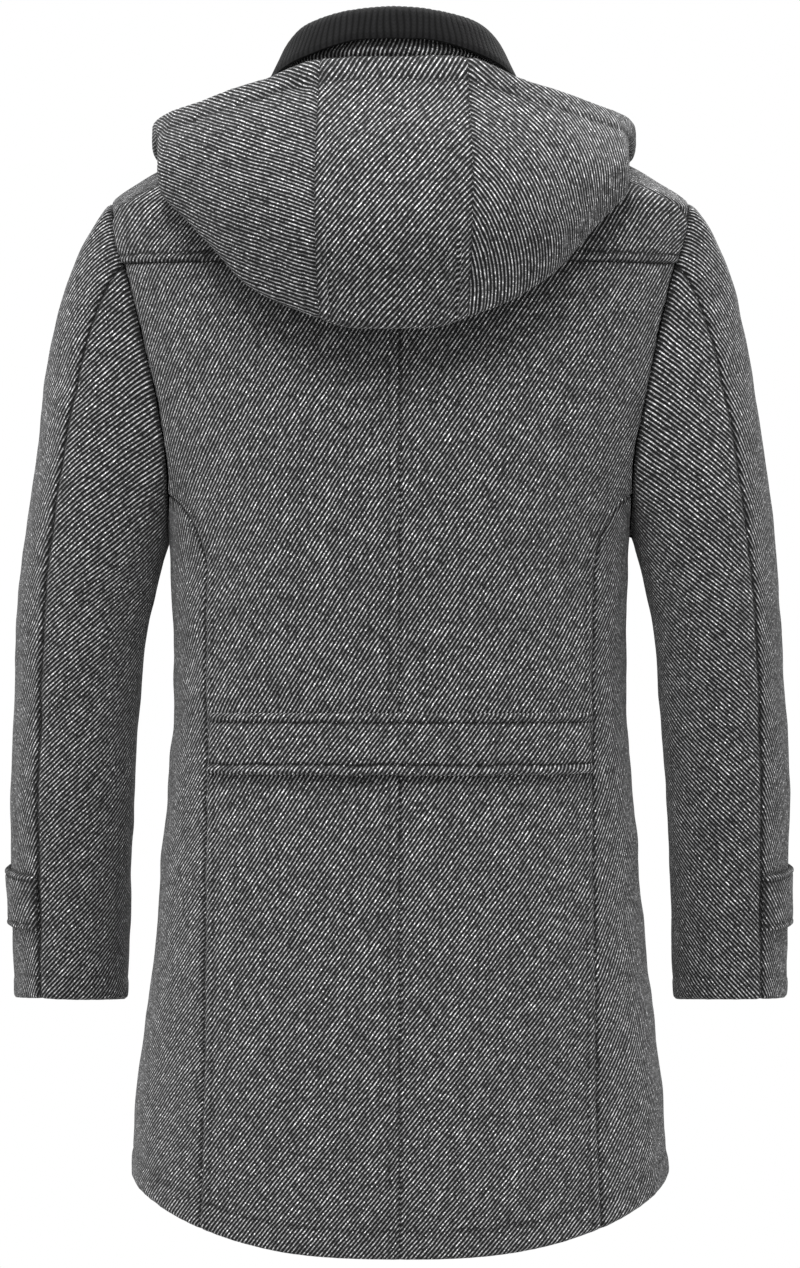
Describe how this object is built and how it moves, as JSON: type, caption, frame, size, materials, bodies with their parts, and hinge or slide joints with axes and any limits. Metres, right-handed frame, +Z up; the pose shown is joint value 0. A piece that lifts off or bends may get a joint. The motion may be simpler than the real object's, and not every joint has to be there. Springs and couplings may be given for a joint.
{
  "type": "hooded wool coat with a rib-knit collar",
  "caption": "Mid-thigh hooded wool coat filled out as if worn, with a fold-over rib-knit collar, half-belt and cuff tabs, open at neck, cuffs and hem.",
  "frame": {"origin": "centre of the base of the neck opening, where the coat rests on its wearer's neck and shoulders", "axes": "+Z up, the front of the coat faces -Y, the wearer's left is +X"},
  "size_m": [0.6066, 0.31, 0.9172],
  "materials": {
    "tweed": "coarse grey and white diagonal twill wool, matt and slightly hairy",
    "rib_knit": "charcoal black rib knit, matt",
    "button": "dark horn-like plastic with a low gloss"
  },
  "bodies": {
    "root": {"yoke": "tweed", "back_left": "tweed", "back_right": "tweed", "side_left": "tweed", "side_right": "tweed", "front_left": "tweed", "front_right": "tweed", "upper_sleeve_left": "tweed", "upper_sleeve_right": "tweed", "under_sleeve_left": "tweed", "under_sleeve_right": "tweed", "collar_stand": "tweed", "knit_collar": "rib_knit", "hood_left": "tweed", "hood_centre": "tweed", "hood_right": "tweed", "half_belt": "tweed", "cuff_tab_left": "tweed", "cuff_tab_right": "tweed", "cuff_button_left": "button", "cuff_button_right": "button", "front_button_1": "button", "front_button_2": "button", "front_button_3": "button", "front_button_4": "button", "front_button_5": "button"}
  },
  "joints": []
}
